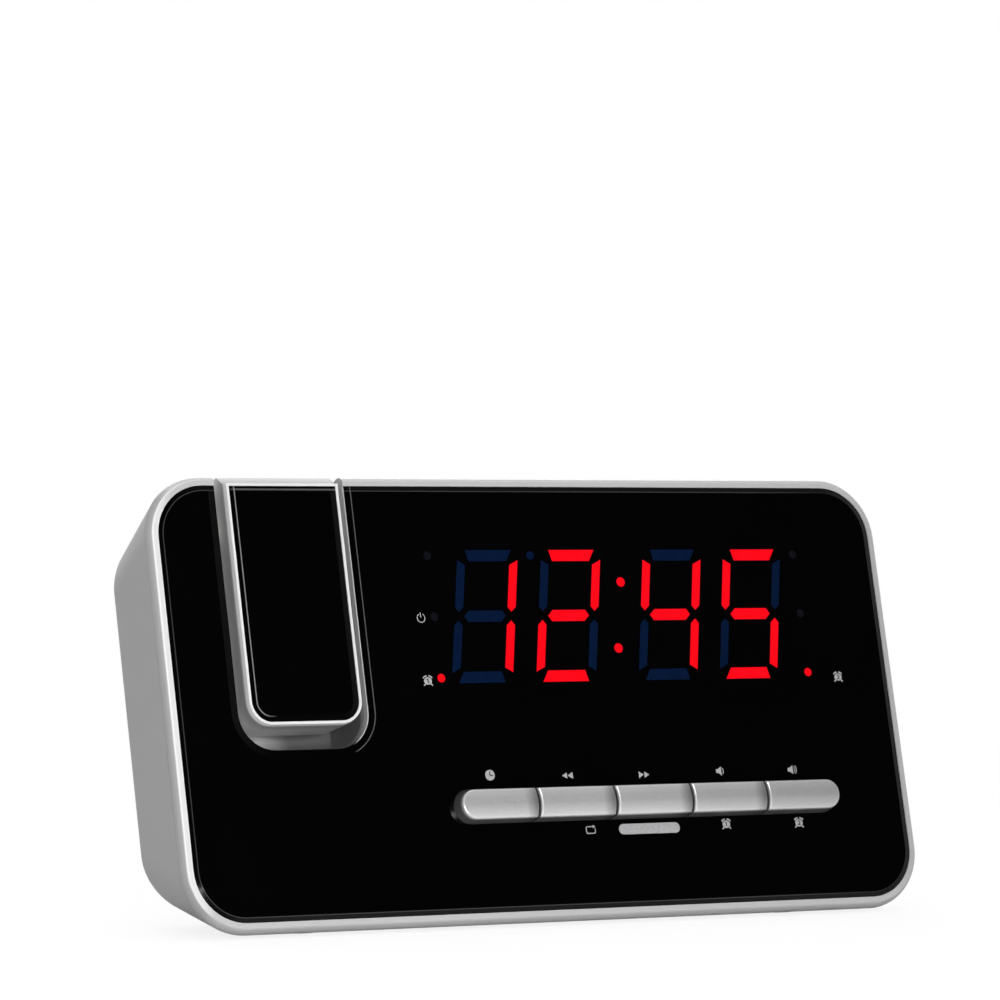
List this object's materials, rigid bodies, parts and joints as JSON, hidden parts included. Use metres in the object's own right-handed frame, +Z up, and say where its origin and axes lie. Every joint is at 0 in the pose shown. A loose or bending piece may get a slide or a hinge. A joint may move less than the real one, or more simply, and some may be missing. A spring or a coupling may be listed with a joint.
{
  "type": "projection alarm clock",
  "caption": "Leaning alarm clock with a red figure display, a strip of silver keys and a hinged projector arm in a U-shaped well.",
  "frame": {"origin": "on the floor, under the middle of the clock's bounding box", "axes": "+Z up, -Y towards the person who reads the clock, +X to the right seen from the front"},
  "size_m": [0.189, 0.0608, 0.0996],
  "materials": {
    "silver": "silver metallic paint, satin",
    "silver_case": "silver metallic paint, satin",
    "silver_key": "silver metallic paint, satin",
    "black_gloss": "polished black",
    "lit_red": "lit red bars",
    "unlit_navy": "dark bars",
    "display_black": "moulded black",
    "board_green": "solder-masked board",
    "switch_black": "moulded",
    "chip_black": "moulded",
    "connector_white": "moulded",
    "ribbon_grey": "insulation",
    "screw_steel": "zinc plated",
    "pressed_steel": "zinc plated",
    "magnet_grey": "ferrite",
    "paper_cone": "paper",
    "cell_steel": "bright",
    "contact_nickel": "nickel plated",
    "foot_rubber": "moulded",
    "pin_steel": "turned",
    "washer_nylon": "moulded",
    "led_clear": "clear red",
    "lens_clear": "polished",
    "lcd_glass": "polished",
    "barrel_black": "moulded"
  },
  "bodies": {
    "case": {"front_bezel": "silver", "projector_well": "silver", "rear_casing": "silver_case", "front_panel": "black_gloss", "lit_segments": "lit_red", "unlit_segments": "unlit_navy", "display_block": "display_black", "front_board": "board_green", "key_switches": "switch_black", "top_board": "board_green", "top_switches": "switch_black", "main_board": "board_green", "board_parts": "chip_black", "board_connectors": "connector_white", "ribbon_cable": "ribbon_grey", "dc_jack": "chip_black", "board_screws": "screw_steel", "casing_screws": "screw_steel", "speaker_basket": "pressed_steel", "speaker_magnet": "magnet_grey", "speaker_cone": "paper_cone", "battery_door": "silver_case", "battery_tray": "chip_black", "backup_cell": "cell_steel", "battery_contact": "contact_nickel", "door_screw": "screw_steel", "front_feet": "foot_rubber", "rear_feet": "foot_rubber"},
    "projector_arm": {"arm_front_shell": "silver", "arm_insert": "black_gloss", "arm_rear_shell": "silver_case", "arm_screws": "screw_steel", "pivot_pins": "pin_steel", "pivot_washers": "washer_nylon", "led_board": "board_green", "projector_led": "led_clear", "optics_holder": "display_black", "condenser_lens": "lens_clear", "lcd_slide": "lcd_glass"},
    "focus_ring_body": {"focus_ring": "barrel_black"},
    "lens_body": {"lens_barrel": "barrel_black", "projection_lens": "lens_clear"},
    "key_clock_body": {"key_clock": "silver_key"},
    "key_back_body": {"key_back": "silver_key"},
    "key_forward_body": {"key_forward": "silver_key"},
    "key_volume_down_body": {"key_volume_down": "silver_key"},
    "key_volume_up_body": {"key_volume_up": "silver_key"},
    "snooze_bar_body": {"snooze_bar": "silver_key"},
    "projection_key_body": {"projection_key": "silver_key"},
    "power_key_body": {"power_key": "silver_key"}
  },
  "joints": [
    {"name": "arm_tilt", "type": "hinge", "parent": "case", "child": "projector_arm", "pos_m": [-0.06155, -0.00008, 0.08745], "axis": [-1, 0, 0], "range_deg": [0, 75]},
    {"name": "focus_turn", "type": "hinge", "parent": "projector_arm", "child": "focus_ring_body", "pos_m": [-0.06155, 0.00255, 0.09809], "axis": [0, 0.2402, 0.9707], "range_deg": [0, 270]},
    {"name": "lens_slide", "type": "slide", "parent": "projector_arm", "child": "lens_body", "axis": [0, 0.2402, 0.9707], "range_m": [0, 0.0014]},
    {"name": "key_clock_press", "type": "slide", "parent": "case", "child": "key_clock_body", "axis": [0, 0.9707, -0.2402], "range_m": [0, 0.0006], "stiffness_N_per_m": 1500, "springref_m": -0.0002},
    {"name": "key_back_press", "type": "slide", "parent": "case", "child": "key_back_body", "axis": [0, 0.9707, -0.2402], "range_m": [0, 0.0006], "stiffness_N_per_m": 1500, "springref_m": -0.0002},
    {"name": "key_forward_press", "type": "slide", "parent": "case", "child": "key_forward_body", "axis": [0, 0.9707, -0.2402], "range_m": [0, 0.0006], "stiffness_N_per_m": 1500, "springref_m": -0.0002},
    {"name": "key_volume_down_press", "type": "slide", "parent": "case", "child": "key_volume_down_body", "axis": [0, 0.9707, -0.2402], "range_m": [0, 0.0006], "stiffness_N_per_m": 1500, "springref_m": -0.0002},
    {"name": "key_volume_up_press", "type": "slide", "parent": "case", "child": "key_volume_up_body", "axis": [0, 0.9707, -0.2402], "range_m": [0, 0.0006], "stiffness_N_per_m": 1500, "springref_m": -0.0002},
    {"name": "snooze_press", "type": "slide", "parent": "case", "child": "snooze_bar_body", "axis": [0, -0.3615, -0.9324], "range_m": [0, 0.001], "stiffness_N_per_m": 1200, "springref_m": -0.0003},
    {"name": "projection_key_press", "type": "slide", "parent": "case", "child": "projection_key_body", "axis": [0, -0.3615, -0.9324], "range_m": [0, 0.0008], "stiffness_N_per_m": 1200, "springref_m": -0.0002},
    {"name": "power_key_press", "type": "slide", "parent": "case", "child": "power_key_body", "axis": [0, -0.3615, -0.9324], "range_m": [0, 0.0008], "stiffness_N_per_m": 1200, "springref_m": -0.0002}
  ],
  "couplings": [
    {"joint": "focus_turn", "follows": "lens_slide", "rad_per_m": 3365.9}
  ]
}
